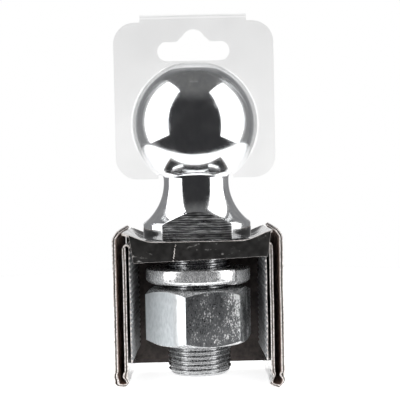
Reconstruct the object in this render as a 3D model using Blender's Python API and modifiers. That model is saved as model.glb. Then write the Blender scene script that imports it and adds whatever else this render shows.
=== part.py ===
"""Trailer hitch ball in its hanging shop pack: a forged ball with a threaded shank, a split lock
washer and a hex nut, under a clear folded cover and in a folded black carton.

The shank's axis is Z. The pack stands on z = 0, its open front faces -Y, and +X is to the right.
Lengths are in metres.
"""

import math

import bmesh
import bpy
from mathutils import Matrix

MM = 0.001
GAP = 0.3 * MM

# Hitch ball: 1-7/8 inch ball on a 1 inch shank.
BALL_R = 23.8 * MM
BALL_Z = 103.1 * MM
BALL_TOP_Z = 125.0 * MM
NECK_R = 13.0 * MM
NECK_FILLET_R = 4.0 * MM
FLARE_R = 20.0 * MM
FLARE_Z = 80.4 * MM
BASE_R = 21.5 * MM
SEAT_Z = 57.7 * MM
FLAT_HALF = 16.75 * MM
FLAT_TOP_Z = 71.8 * MM
SHANK_R = 12.7 * MM
SHANK_Z = 3.7 * MM
THREAD_TOP_Z = 51.7 * MM

# Thread: 14 turns to the inch, its crest a little below the plain shank.
THREAD_R = 12.6 * MM
PITCH = 25.4 / 14 * MM
THREAD_DEPTH = 1.15 * MM
THREAD_SIDES = 30
NUT_CLEARANCE = 0.25 * MM

NUT_ACROSS_FLATS = 38.1 * MM
NUT_Z = 16.2 * MM
NUT_TOP_Z = 37.9 * MM
NUT_TURN = math.radians(-13.2)
WASHER_R = 20.9 * MM
WASHER_BORE_R = 13.2 * MM
WASHER_Z = 40.2 * MM
WASHER_THICK = 5.7 * MM
WASHER_RISE = 0.6 * MM
WASHER_SPLIT = math.radians(-45.0)
WASHER_SPLIT_WIDTH = 0.8 * MM

# Clear cover: two halves folded over at the top.
COVER_THICK = 0.5 * MM
COVER_HALF_WIDTH = 31.9 * MM
COVER_Z = 81.5 * MM
COVER_TOP_Z = 143.9 * MM
COVER_CORNER_R = 8.6 * MM
COVER_SPLIT = 0.15 * MM
DOME_R = 25.0 * MM
DOME_TOP_Z = 127.0 * MM
NECK_HOLE_R = 14.9 * MM
NECK_HOLE_TOP_Z = 83.7 * MM
TAB_HALF_WIDTH = 21.2 * MM
FOLD_Z = 146.1 * MM
FOLD_R = 0.65 * MM
SLOT_HALF_WIDTH = 14.4 * MM
SLOT_Z = 132.2 * MM
SLOT_R = 3.9 * MM
BUMP_R = 4.7 * MM

# Carton: one folded board with rolled side walls and fluted liners.
CARTON_HALF_WIDTH = 32.8 * MM
CARTON_FRONT_Y = -19.5 * MM
CARTON_BACK_Y = 25.0 * MM
SPLAY = 0.027
BOARD = 1.3 * MM
APEX_X = 30.0 * MM
APEX_Z = 61.8 * MM
SHOULDER_Z = 59.1 * MM
PANEL_THICK = 1.0 * MM
PANEL_HOLE_R = 13.6 * MM
FRONT_SAG_Z = 57.5 * MM
RETURN_X = 29.0 * MM
RETURN_TOP_Z = 55.4 * MM
LINER_X = 26.7 * MM
LINER_THICK = 0.7 * MM
LINER_Z = 10.3 * MM
LINER_FRONT_Y = -17.6 * MM
FOOT_Z = {"left": 1.4 * MM, "right": 0.0}
BACK_Z = 3.4 * MM
FLAP_LOW = {"left": (-24.7 * MM, 49.5 * MM), "right": (27.0 * MM, 51.2 * MM)}
FLAP_LEFT_X = -26.4 * MM
FLAP_RIGHT_X = 28.4 * MM
FLAP_THICK = 0.8 * MM
FLAP_Y = -19.1 * MM

TURNED_SIDES = 48


def clear_scene():
    for item in list(bpy.data.objects):
        bpy.data.objects.remove(item, do_unlink=True)


def new_collection(name):
    collection = bpy.data.collections.new(name)
    bpy.context.scene.collection.children.link(collection)
    return collection


clear_scene()
PARTS = new_collection("trailer_hitch_ball_pack")
CUTTERS = new_collection("cutters")


def material(name, color, metallic, roughness, transmission=0.0):
    made = bpy.data.materials.new(name)
    made.use_nodes = True
    shader = made.node_tree.nodes["Principled BSDF"]
    shader.inputs["Base Color"].default_value = (*color, 1.0)
    shader.inputs["Metallic"].default_value = metallic
    shader.inputs["Roughness"].default_value = roughness
    shader.inputs["Transmission Weight"].default_value = transmission
    return made


def object_from_bmesh(shape, name, collection=PARTS):
    mesh = bpy.data.meshes.new(name)
    bmesh.ops.recalc_face_normals(shape, faces=shape.faces)
    shape.to_mesh(mesh)
    shape.free()
    made = bpy.data.objects.new(name, mesh)
    collection.objects.link(made)
    return made


def finish(made, look, smooth_angle=None):
    made.data.materials.clear()
    made.data.materials.append(look)
    if smooth_angle is not None:
        made.data.shade_smooth()
        made.data.set_sharp_from_angle(angle=math.radians(smooth_angle))
    return made


def as_cutter(made):
    for holder in list(made.users_collection):
        holder.objects.unlink(made)
    CUTTERS.objects.link(made)
    made.hide_render = True
    made.display_type = "WIRE"
    return made


def boolean(target, operation, other):
    modifier = target.modifiers.new(operation.lower(), "BOOLEAN")
    modifier.operation = operation
    modifier.object = as_cutter(other)
    return modifier


def box(name, low, high, collection=PARTS):
    shape = bmesh.new()
    bmesh.ops.create_cube(shape, size=1.0)
    for vertex in shape.verts:
        for axis in range(3):
            vertex.co[axis] = high[axis] if vertex.co[axis] > 0 else low[axis]
    return object_from_bmesh(shape, name, collection)


def cone(name, low_z, high_z, low_r, high_r, sides=TURNED_SIDES, turn=0.0):
    shape = bmesh.new()
    middle = Matrix.Translation((0, 0, (low_z + high_z) / 2)) @ Matrix.Rotation(turn, 4, "Z")
    bmesh.ops.create_cone(
        shape, cap_ends=True, segments=sides, radius1=low_r, radius2=high_r,
        depth=high_z - low_z, matrix=middle,
    )
    return object_from_bmesh(shape, name)


def turned(name, profile, sides=TURNED_SIDES):
    """A closed solid turned about Z from (radius, z) points that run from the top down."""
    shape = bmesh.new()
    points = [shape.verts.new((radius, 0, z)) for radius, z in profile]
    for first, second in zip(points, points[1:]):
        shape.edges.new((first, second))
    mesh = bpy.data.meshes.new(name)
    shape.to_mesh(mesh)
    shape.free()
    made = bpy.data.objects.new(name, mesh)
    PARTS.objects.link(made)
    screw = made.modifiers.new("turn", "SCREW")
    screw.steps = sides
    screw.render_steps = sides
    screw.use_merge_vertices = True
    screw.merge_threshold = 0.00001
    screw.use_normal_calculate = True
    return made


def threaded_rod(name, low_z, high_z, crest_r, fade):
    """A rod with a helical V thread that starts and ends in plain round faces."""
    shape = bmesh.new()
    root_r = crest_r - THREAD_DEPTH
    first_line = 2 * (math.floor(low_z / PITCH) - 2)
    last_line = 2 * (math.ceil(high_z / PITCH) + 2)
    made = {}

    def vertex(side, line):
        if side == THREAD_SIDES:
            side = 0
            line += 2
        z = PITCH * (line / 2 + side / THREAD_SIDES)
        key = (side, line)
        if z <= low_z:
            z = low_z
            key = (side, "low")
        if z >= high_z:
            z = high_z
            key = (side, "high")
        if key not in made:
            depth = min(1.0, (z - low_z) / fade, (high_z - z) / fade)
            radius = root_r + THREAD_DEPTH * depth * (line % 2)
            angle = 2 * math.pi * side / THREAD_SIDES
            made[key] = shape.verts.new((radius * math.cos(angle), radius * math.sin(angle), z))
        return made[key]

    for side in range(THREAD_SIDES):
        for line in range(first_line, last_line):
            corners = [vertex(side, line), vertex(side + 1, line)]
            corners += [vertex(side + 1, line + 1), vertex(side, line + 1)]
            corners = list(dict.fromkeys(corners))
            if len(corners) > 2:
                shape.faces.new(corners)
    for end in ("low", "high"):
        shape.faces.new([made[(side, end)] for side in range(THREAD_SIDES)])
    return object_from_bmesh(shape, name)


def board(name, outline, low_y, high_y):
    """A flat or folded board: an (x, z) outline run from low_y to high_y."""
    shape = bmesh.new()
    points = [shape.verts.new((x, low_y, z)) for x, z in outline]
    face = shape.faces.new(points)
    moved = bmesh.ops.extrude_face_region(shape, geom=[face])["geom"]
    for item in moved:
        if isinstance(item, bmesh.types.BMVert):
            item.co.y = high_y
    return object_from_bmesh(shape, name)


def splay(y):
    """How far a side wall has come in at y. The walls stand widest apart at the open front."""
    return SPLAY * (y - CARTON_FRONT_Y)


def side_board(name, outline, low_y, high_y, mirror):
    """A board of a side wall, which leans in towards the back."""
    sign = -1 if mirror else 1
    made = board(name, outline, low_y, high_y)
    for vertex in made.data.vertices:
        vertex.co.x = sign * (vertex.co.x - splay(vertex.co.y))
    if mirror:
        made.data.flip_normals()
    return made


def strip(points, thick):
    """The closed (x, z) outline of a strip of even thickness along open points."""
    left = []
    right = []
    for index, (x, z) in enumerate(points):
        before = points[max(index - 1, 0)]
        after = points[min(index + 1, len(points) - 1)]
        run = math.hypot(after[0] - before[0], after[1] - before[1])
        side_x = (after[1] - before[1]) / run * thick / 2
        side_z = -(after[0] - before[0]) / run * thick / 2
        left.append((x + side_x, z + side_z))
        right.append((x - side_x, z - side_z))
    return left + right[::-1]


def arc(center_x, center_z, radius, start, end, steps):
    """Points on an arc, with the angles in degrees."""
    angles = [math.radians(start + (end - start) * step / steps) for step in range(steps + 1)]
    return [(center_x + radius * math.cos(a), center_z + radius * math.sin(a)) for a in angles]


def ease(value, start, end):
    """0 before start and 1 after end, with a smooth rise between."""
    part = min(1.0, max(0.0, (value - start) / (end - start)))
    return part * part * (3 - 2 * part)


def make_hitch_ball(look):
    profile = [(0, BALL_TOP_Z)]
    top_angle = math.degrees(math.asin((BALL_TOP_Z - BALL_Z) / BALL_R))
    fillet_x = NECK_R + NECK_FILLET_R
    neck_angle = math.degrees(math.acos(fillet_x / (BALL_R + NECK_FILLET_R)))
    fillet_z = BALL_Z - math.sqrt((BALL_R + NECK_FILLET_R) ** 2 - fillet_x**2)
    profile += arc(0, BALL_Z, BALL_R, top_angle, -neck_angle, 18)
    profile += arc(fillet_x, fillet_z, NECK_FILLET_R, 180 - neck_angle, 180, 3)[1:]
    flare_end = -90 - math.degrees(math.asin((NECK_R + FLARE_R - BASE_R) / FLARE_R))
    profile += arc(NECK_R + FLARE_R, FLARE_Z, FLARE_R, -180, flare_end, 9)
    profile += [(BASE_R, SEAT_Z + 0.5 * MM), (BASE_R - 0.5 * MM, SEAT_Z)]
    profile += [(SHANK_R, SEAT_Z), (SHANK_R, THREAD_TOP_Z - 1.2 * MM), (0, THREAD_TOP_Z - 1.2 * MM)]
    ball = turned("hitch_ball", profile)
    thread = threaded_rod("shank_thread", SHANK_Z, THREAD_TOP_Z, THREAD_R, 1.2 * MM)
    boolean(ball, "UNION", thread)
    for side in (-1, 1):
        low = (-BASE_R - MM, min(side * FLAT_HALF, side * 25 * MM), SEAT_Z - MM)
        high = (BASE_R + MM, max(side * FLAT_HALF, side * 25 * MM), FLAT_TOP_Z)
        boolean(ball, "DIFFERENCE", box(f"wrench_flat_{side}", low, high))
    return finish(ball, look, 40)


def make_nut(look):
    corner_r = NUT_ACROSS_FLATS / 2 / math.cos(math.pi / 6)
    chamfer = 0.6 * (corner_r - NUT_ACROSS_FLATS / 2) + 0.9 * MM
    nut = cone("hex_nut", NUT_Z, NUT_TOP_Z, corner_r, corner_r, 6, NUT_TURN)
    flat_r = NUT_ACROSS_FLATS / 2 - 0.4 * MM
    wide_r = corner_r + 1.2 * MM
    profile = [(0, NUT_TOP_Z), (flat_r, NUT_TOP_Z), (wide_r, NUT_TOP_Z - chamfer)]
    profile += [(wide_r, NUT_Z + chamfer), (flat_r, NUT_Z), (0, NUT_Z)]
    boolean(nut, "INTERSECT", turned("nut_chamfers", profile))
    margin = 3 * MM
    bore = threaded_rod("nut_thread", NUT_Z - margin, NUT_TOP_Z + margin, THREAD_R + NUT_CLEARANCE, MM)
    boolean(nut, "DIFFERENCE", bore)
    return finish(nut, look, 30)


def make_washer(look):
    """A ring with a slanted cut whose two ends stand a little apart in height."""
    shape = bmesh.new()
    steps = 44
    half_cut = WASHER_SPLIT_WIDTH / 2 / WASHER_R
    loops = []
    for step in range(steps + 1):
        turn = step / steps
        angle = WASHER_SPLIT + half_cut + turn * (2 * math.pi - 2 * half_cut)
        low = WASHER_Z + WASHER_RISE * (turn - 0.5)
        high = low + WASHER_THICK
        bevel = 1.1 * MM
        section = [(WASHER_BORE_R, low), (WASHER_R - bevel, low), (WASHER_R, low + bevel)]
        section += [(WASHER_R, high - 0.5 * MM), (WASHER_R - 0.5 * MM, high), (WASHER_BORE_R, high)]
        cosine = math.cos(angle)
        sine = math.sin(angle)
        loops.append([shape.verts.new((r * cosine, r * sine, z)) for r, z in section])
    count = len(loops[0])
    for first, second in zip(loops, loops[1:]):
        for index in range(count):
            after = (index + 1) % count
            shape.faces.new([first[index], first[after], second[after], second[index]])
    shape.faces.new(loops[0])
    shape.faces.new(loops[-1])
    return finish(object_from_bmesh(shape, "lock_washer"), look, 35)


def dome_solid(name, radius, top_z, low_z):
    """A ball with a flat top, cut off flat at low_z."""
    top_angle = math.degrees(math.asin((top_z - BALL_Z) / radius))
    low_angle = math.degrees(math.asin((low_z - BALL_Z) / radius))
    profile = [(0, top_z)] + arc(0, BALL_Z, radius, top_angle, low_angle, 16) + [(0, low_z)]
    return turned(name, profile)


def cover_outline(tab_top_z):
    """Rounded sheet with the narrower hinge tab on top, as (x, z) points."""
    inner = COVER_HALF_WIDTH - COVER_CORNER_R
    right = arc(inner, COVER_Z + COVER_CORNER_R, COVER_CORNER_R, -90, 0, 6)
    right += arc(inner, COVER_TOP_Z - COVER_CORNER_R, COVER_CORNER_R, 0, 90, 6)
    right += [(TAB_HALF_WIDTH, COVER_TOP_Z), (TAB_HALF_WIDTH, tab_top_z)]
    return right + [(-x, z) for x, z in right[::-1]]


def hang_hole(name):
    """The round-ended slot with its bump, as a cutter that passes both sheets."""
    middle = SLOT_HALF_WIDTH - SLOT_R
    outline = arc(middle, SLOT_Z, SLOT_R, -90, 60, 6) + [(middle, SLOT_Z + SLOT_R)]
    bump_z = SLOT_Z + SLOT_R
    outline += [(BUMP_R + 1.2 * MM, bump_z)] + arc(0, bump_z, BUMP_R, 20, 90, 5)
    outline += [(-x, z) for x, z in outline[-2::-1]]
    return board(name, outline, -3 * MM, 3 * MM)


def make_cover_half(name, side, tab_top_z, look):
    near = side * COVER_SPLIT
    far = side * (COVER_SPLIT + COVER_THICK)
    half = board(name, cover_outline(tab_top_z), min(near, far), max(near, far))
    dome = dome_solid(f"{name}_dome", DOME_R, DOME_TOP_Z, COVER_Z)
    wide = 40 * MM
    low = (-wide, min(near, side * wide), COVER_Z - MM)
    high = (wide, max(near, side * wide), DOME_TOP_Z + MM)
    boolean(dome, "INTERSECT", box(f"{name}_dome_half", low, high))
    boolean(half, "UNION", dome)
    hollow = dome_solid(f"{name}_hollow", DOME_R - COVER_THICK, DOME_TOP_Z - COVER_THICK, COVER_Z - MM)
    boolean(half, "DIFFERENCE", hollow)
    boolean(half, "DIFFERENCE", hang_hole(f"{name}_hang_hole"))
    neck_hole = cone(f"{name}_neck_hole", COVER_Z - MM, NECK_HOLE_TOP_Z, NECK_HOLE_R, NECK_HOLE_R)
    boolean(half, "DIFFERENCE", neck_hole)
    place_origin(half, (0, 0, FOLD_Z))
    return finish(half, look, 30)


def make_cover_fold(look):
    """The rolled strip that joins the halves along the top."""
    middle_r = FOLD_R - COVER_THICK / 2
    outline = strip(arc(0, 0, middle_r, 0, 180, 8), COVER_THICK)
    fold = board("cover_fold", outline, -TAB_HALF_WIDTH, TAB_HALF_WIDTH)
    fold.data.transform(Matrix.Rotation(math.pi / 2, 4, "Z"))
    fold.location = (0, 0, FOLD_Z)
    return finish(fold, look, 30)


def place_origin(made, origin):
    """Puts the object's origin on its joint's axis, with its shape where it was."""
    made.data.transform(Matrix.Translation(tuple(-value for value in origin)))
    made.location = origin


def panel_height(x, y):
    """Top face of the sagging top panel."""
    middle = SEAT_Z - GAP + (APEX_Z - SEAT_Z) * ease(abs(x), BASE_R + 0.4 * MM, APEX_X)
    edge = FRONT_SAG_Z + (APEX_Z - FRONT_SAG_Z) * ease(abs(x), 16.5 * MM, APEX_X + 2 * MM)
    near_edge = ease(-y, 12 * MM, -FLAP_Y) + ease(y, 18 * MM, CARTON_BACK_Y)
    return middle + (edge - middle) * near_edge


def make_top_panel(look):
    shape = bmesh.new()
    columns = 24
    rows = 12
    bmesh.ops.create_grid(shape, x_segments=columns, y_segments=rows, size=1.0)
    back_y = CARTON_BACK_Y - BOARD - GAP
    front_y = FLAP_Y + FLAP_THICK / 2 + GAP
    for vertex in shape.verts:
        y = front_y + (vertex.co.y + 1) / 2 * (back_y - front_y)
        x = vertex.co.x * (APEX_X - MM - splay(y))
        vertex.co = (x, y, panel_height(x, y))
    panel = object_from_bmesh(shape, "top_panel")
    solid = panel.modifiers.new("thickness", "SOLIDIFY")
    solid.thickness = PANEL_THICK
    solid.offset = -1.0 if panel.data.polygons[0].normal.z > 0 else 1.0
    low_z = SEAT_Z - 5 * MM
    boolean(panel, "DIFFERENCE", cone("shank_hole", low_z, SEAT_Z + MM, PANEL_HOLE_R, PANEL_HOLE_R))
    return finish(panel, look)


def make_flap(look):
    """The short lip folded down along the front edge of the top panel."""
    steps = 16
    top = []
    for step in range(steps + 1):
        x = FLAP_LEFT_X + (FLAP_RIGHT_X - FLAP_LEFT_X) * step / steps
        top.append((x, panel_height(x, FLAP_Y) - 0.1 * MM))
    outline = [FLAP_LOW["right"], FLAP_LOW["left"]] + top
    flap = board("front_flap", outline, FLAP_Y - FLAP_THICK / 2, FLAP_Y + FLAP_THICK / 2)
    return finish(flap, look)


def make_side(side, look, liner_look):
    """One rolled side wall: outer wall, bottom fold, return panel, hook and fluted liner."""
    mirror = side == "left"
    foot = FOOT_Z[side]
    front_y = CARTON_FRONT_Y
    back_y = CARTON_BACK_Y
    fold_top = foot + 6 * MM
    wall_x = CARTON_HALF_WIDTH - BOARD / 2
    return_x = RETURN_X - BOARD / 2
    wall_line = [(wall_x, fold_top + GAP), (wall_x, SHOULDER_Z), (APEX_X + 0.4 * MM, APEX_Z - 0.2 * MM)]
    wall = side_board(f"outer_wall_{side}", strip(wall_line, BOARD), front_y, back_y, mirror)
    fold_line = [(return_x, fold_top), (return_x, foot + 2.5 * MM)]
    fold_line += [(return_x + 1.2 * MM, foot + BOARD / 2), (wall_x - 1.0 * MM, foot + BOARD / 2)]
    fold_line += [(wall_x, foot + 2.5 * MM), (wall_x, fold_top)]
    inner_front = FLAP_Y + FLAP_THICK / 2 + GAP
    inner_back = back_y - BOARD - GAP
    fold = side_board(f"bottom_fold_{side}", strip(fold_line, BOARD), front_y, inner_back, mirror)
    return_line = [(return_x, fold_top + GAP), (return_x, RETURN_TOP_Z)]
    panel = side_board(f"return_panel_{side}", strip(return_line, BOARD), inner_front, inner_back, mirror)
    liner_x = LINER_X - LINER_THICK / 2
    hook_x = (return_x + liner_x) / 2
    hook_r = (return_x - liner_x) / 2
    hook_line = arc(hook_x, RETURN_TOP_Z + GAP, hook_r, 0, 180, 6)
    hook_outline = strip(hook_line, LINER_THICK)
    hook = side_board(f"liner_hook_{side}", hook_outline, inner_front, inner_back, mirror)
    liner_line = [(liner_x, LINER_Z), (liner_x, RETURN_TOP_Z)]
    liner_outline = strip(liner_line, LINER_THICK)
    liner = side_board(f"fluted_liner_{side}", liner_outline, LINER_FRONT_Y, inner_back, mirror)
    for piece in (wall, fold, panel):
        finish(piece, look)
    for piece in (hook, liner):
        finish(piece, liner_look)


def make_back_wall(look):
    """Its top edge follows the sagging top panel, between the two outer walls."""
    half = CARTON_HALF_WIDTH - BOARD - GAP - splay(CARTON_BACK_Y)
    lean = 1.8 * MM
    outline = [(half, BACK_Z), (-half, BACK_Z), (-half, SHOULDER_Z - lean)]
    steps = 16
    for step in range(steps + 1):
        x = (half - lean) * (2 * step / steps - 1)
        outline.append((x, panel_height(x, CARTON_BACK_Y) - 0.1 * MM))
    outline.append((half, SHOULDER_Z - lean))
    wall = board("back_wall", outline, CARTON_BACK_Y - BOARD, CARTON_BACK_Y)
    return finish(wall, look)


def main():
    chrome = material("chrome", (0.78, 0.79, 0.80), 1.0, 0.08)
    zinc = material("zinc", (0.55, 0.57, 0.58), 1.0, 0.35)
    steel = material("spring_steel", (0.62, 0.63, 0.64), 1.0, 0.22)
    clear = material("clear_pet", (0.95, 0.96, 0.97), 0.0, 0.08, 1.0)
    black_board = material("black_board", (0.025, 0.024, 0.024), 0.0, 0.45)
    liner_board = material("liner_board", (0.04, 0.04, 0.038), 0.0, 0.55)
    make_hitch_ball(chrome)
    make_washer(steel)
    make_nut(zinc)
    make_cover_half("cover_front", -1, FOLD_Z - FOLD_R - GAP, clear)
    make_cover_half("cover_back", 1, FOLD_Z - GAP, clear)
    make_cover_fold(clear)
    make_top_panel(black_board)
    make_flap(black_board)
    make_back_wall(black_board)
    for side in ("left", "right"):
        make_side(side, black_board, liner_board)


main()
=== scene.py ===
"""Looks for the trailer hitch ball in its hanging pack: fine meshes, materials, light and camera."""

import math

import bmesh
import bpy
from mathutils import Matrix, Vector, noise


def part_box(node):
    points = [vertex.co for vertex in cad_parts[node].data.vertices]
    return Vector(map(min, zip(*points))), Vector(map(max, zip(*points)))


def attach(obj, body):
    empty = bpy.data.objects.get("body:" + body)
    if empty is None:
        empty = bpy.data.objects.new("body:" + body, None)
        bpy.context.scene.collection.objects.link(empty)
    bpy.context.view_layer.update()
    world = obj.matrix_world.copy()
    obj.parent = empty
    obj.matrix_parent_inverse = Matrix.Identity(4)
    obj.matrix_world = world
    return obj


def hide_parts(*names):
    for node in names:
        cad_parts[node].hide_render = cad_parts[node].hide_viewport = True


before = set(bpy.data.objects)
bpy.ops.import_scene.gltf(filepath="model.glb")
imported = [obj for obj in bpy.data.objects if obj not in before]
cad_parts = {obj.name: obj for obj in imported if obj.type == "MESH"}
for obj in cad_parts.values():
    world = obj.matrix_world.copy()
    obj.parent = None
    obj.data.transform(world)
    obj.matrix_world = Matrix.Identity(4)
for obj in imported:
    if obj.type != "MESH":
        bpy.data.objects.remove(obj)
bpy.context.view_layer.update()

MM = 0.001
FRONT, BACK = -1, 1


def span(node, axis):
    """A CAD node's lowest and highest coordinate along one axis."""
    low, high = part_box(node)
    return low[axis], high[axis]


# Sizes read from the frame.
SHANK_Z, BALL_TOP_Z = span("hitch_ball", 2)
BALL_R = span("hitch_ball", 0)[1]
NUT_Z, NUT_TOP_Z = span("hex_nut", 2)
WASHER_Z, WASHER_TOP_Z = span("lock_washer", 2)
WASHER_R = span("lock_washer", 0)[1]
COVER_Z = span("cover_back", 2)[0]
FOLD_TOP_Z = span("cover_fold", 2)[1]
COVER_HALF_WIDTH = span("cover_back", 0)[1]
TAB_HALF_WIDTH = span("cover_fold", 0)[1]
DOME_R = span("cover_back", 1)[1]
WALL_X = span("outer_wall_right", 0)[1]
WALL_TOP_Z = span("outer_wall_right", 2)[1]
WALL_FRONT_Y, BACK_Y = span("outer_wall_right", 1)
RETURN_TOP_Z = span("return_panel_right", 2)[1]
LINER_Z = span("fluted_liner_right", 2)[0]
LINER_FRONT_Y, LINER_BACK_Y = span("fluted_liner_right", 1)
PANEL_FRONT_Y, PANEL_BACK_Y = span("top_panel", 1)
FLAP_FRONT_Y = span("front_flap", 1)[0]
BACK_WALL_Z = span("back_wall", 2)[0]
FEET = {side: span(f"bottom_fold_{side}", 2)[0] for side in ("left", "right")}

# Sizes inside one piece, the same as the CAD model's.
BALL_Z = 103.1 * MM
SEAT_Z = 57.7 * MM
NECK_R = 13.0 * MM
NECK_FILLET_R = 4.0 * MM
FLARE_R = 20.0 * MM
FLARE_Z = 80.4 * MM
BASE_R = 21.5 * MM
FLAT_HALF = 16.75 * MM
FLAT_TOP_Z = 71.8 * MM
SHANK_R = 12.7 * MM
THREAD_TOP_Z = 51.7 * MM
THREAD_R = 12.6 * MM
PITCH = 25.4 / 14 * MM
THREAD_DEPTH = 1.15 * MM
NUT_HALF = 19.05 * MM
NUT_TURN = math.radians(-13.2)
WASHER_BORE_R = 13.2 * MM
WASHER_THICK = 5.7 * MM
WASHER_SPLIT = math.radians(-45.0)
DOME_TOP_Z = 127.0 * MM
NECK_HOLE_R = 14.9 * MM
NECK_HOLE_TOP_Z = 83.7 * MM
COVER_TOP_Z = 143.9 * MM
COVER_CORNER_R = 8.6 * MM
COVER_THICK = 0.45 * MM
COVER_SPLIT = 0.15 * MM
SLOT_HALF_WIDTH = 14.4 * MM
SLOT_Z = 132.2 * MM
SLOT_R = 3.9 * MM
BUMP_R = 4.7 * MM
BOARD = 1.3 * MM
PLY = 0.42 * MM
SPLAY = 0.027
APEX_X = 30.0 * MM
APEX_Z = 61.8 * MM
SHOULDER_Z = 59.1 * MM
PANEL_THICK = 1.0 * MM
PANEL_HOLE_R = 13.6 * MM
FRONT_SAG_Z = 57.5 * MM
RETURN_X = 29.0 * MM
LINER_X = 26.7 * MM
FLAP_TOP_X = (-26.4 * MM, 28.4 * MM)
FLAP_LOW_X = (-24.7 * MM, 27.0 * MM)
FLAP_LOW_Z = (49.5 * MM, 51.2 * MM)
FLUTE_PITCH = 2.1 * MM
FLUTE_HEIGHT = 0.58 * MM
LINER_THICK = 0.7 * MM
FLAP_THICK = 0.8 * MM
FOLD_HEIGHT = 6 * MM
FEET_TOP_Z = 8.0 * MM
BACK_WALL_LEAN = 1.8 * MM

# Detail that only the fine meshes have.
BALL_SIDES = 192
THREAD_SIDES = 144
NUT_CHAMFER = 2.5 * MM
NUT_MOUTH_R = 13.7 * MM
NUT_MOUTH_DEPTH = 1.1 * MM
NUT_CLEARANCE = 0.25 * MM
WASHER_CUT = 0.4 * MM
DOME_FILLET_R = 0.9 * MM
WARP = 0.12 * MM
EDGE_WAVE = 0.25 * MM
CRUMPLE = 2.0 * MM
CREASE_X = -8.3 * MM
FLOOR_R = 0.275
FLOOR_MIDDLE_Y = 0.205


# ---------------------------------------------------------------- camera, light and floor

CAMERA_AT = Vector((1.4 * MM, -450 * MM, 87.9 * MM))
LOOK_DOWN = math.radians(1.93)
ROLL = math.radians(-1.2)
LENS = 101.2


def make_camera():
    data = bpy.data.cameras.new("camera")
    data.lens = LENS
    data.sensor_width = 36.0
    data.clip_start = 0.01
    camera = bpy.data.objects.new("camera", data)
    bpy.context.scene.collection.objects.link(camera)
    turn = Matrix.Rotation(math.pi / 2 - LOOK_DOWN, 4, "X") @ Matrix.Rotation(ROLL, 4, "Z")
    camera.matrix_world = Matrix.Translation(CAMERA_AT) @ turn
    bpy.context.scene.camera = camera


def soft_box(name, middle, height_run, width, height, radiance):
    """A lamp panel that faces the ball. height_run points up along the panel."""
    up = Vector(height_run).normalized()
    inward = Vector((0, 0, BALL_Z)) - Vector(middle)
    inward = (inward - up * inward.dot(up)).normalized()
    across = up.cross(-inward)
    data = bpy.data.lights.new(name, "AREA")
    data.shape = "RECTANGLE"
    data.size = width
    data.size_y = height
    data.energy = radiance * math.pi * width * height
    lamp = bpy.data.objects.new(name, data)
    bpy.context.scene.collection.objects.link(lamp)
    turn = Matrix((across, up, -inward)).transposed()
    lamp.matrix_world = Matrix.Translation(middle) @ turn.to_4x4()
    lamp.visible_camera = False
    return lamp


def make_lights():
    soft_box("left_box", (-0.355, -0.055, 0.304), (0.159, 0.09, 0.983), 0.43, 0.75, 3.0)
    soft_box("right_box", (0.375, -0.075, 0.247), (-0.20, 0.09, 0.975), 0.43, 0.74, 2.7)
    for name, side in (("left_strip", -1), ("right_strip", 1)):
        soft_box(name, (side * 0.05, -0.06, 0.9), (0, -1, 0), 0.07, 0.012, 0.45)
    fill = soft_box("front_fill", (0.0, -0.62, 0.10), (0, 0, 1), 0.5, 0.35, 0.6)
    fill.visible_glossy = False
    for name, side in (("left_fill", -1), ("right_fill", 1)):
        fill = soft_box(name, (side * 0.34, -0.44, 0.03), (0, 0, 1), 0.2, 0.2, 4.0)
        fill.visible_glossy = False


def make_world():
    """White to the camera. What the metal mirrors is dark in front, grey beside and above."""
    world = bpy.data.worlds.new("studio")
    bpy.context.scene.world = world
    world.use_nodes = True
    tree = world.node_tree
    tree.nodes.clear()
    coords = tree.nodes.new("ShaderNodeTexCoord")
    split = tree.nodes.new("ShaderNodeSeparateXYZ")
    tree.links.new(coords.outputs["Generated"], split.inputs[0])
    shade = (0.04, 0.04, 0.042, 1)
    for axis, low, high, color in (
        ("Y", -0.20, 0.15, (0.27, 0.27, 0.275, 1)),
        ("Z", 0.62, 0.95, (0.17, 0.17, 0.17, 1)),
        ("Y", 0.93, 0.985, (1.0, 1.0, 1.0, 1)),
    ):
        part = tree.nodes.new("ShaderNodeMapRange")
        part.interpolation_type = "SMOOTHSTEP"
        part.inputs["From Min"].default_value = low
        part.inputs["From Max"].default_value = high
        tree.links.new(split.outputs[axis], part.inputs["Value"])
        layer = tree.nodes.new("ShaderNodeMix")
        layer.data_type = "RGBA"
        tree.links.new(part.outputs[0], layer.inputs["Factor"])
        if isinstance(shade, tuple):
            layer.inputs["A"].default_value = shade
        else:
            tree.links.new(shade, layer.inputs["A"])
        layer.inputs["B"].default_value = color
        shade = layer.outputs["Result"]
    seen = tree.nodes.new("ShaderNodeBackground")
    seen.inputs["Color"].default_value = (1, 1, 1, 1)
    mirrored = tree.nodes.new("ShaderNodeBackground")
    tree.links.new(shade, mirrored.inputs["Color"])
    path = tree.nodes.new("ShaderNodeLightPath")
    mix = tree.nodes.new("ShaderNodeMixShader")
    tree.links.new(path.outputs["Is Camera Ray"], mix.inputs[0])
    tree.links.new(mirrored.outputs[0], mix.inputs[1])
    tree.links.new(seen.outputs[0], mix.inputs[2])
    out = tree.nodes.new("ShaderNodeOutputWorld")
    tree.links.new(mix.outputs[0], out.inputs["Surface"])
    bpy.context.scene.view_settings.view_transform = "Standard"


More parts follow.
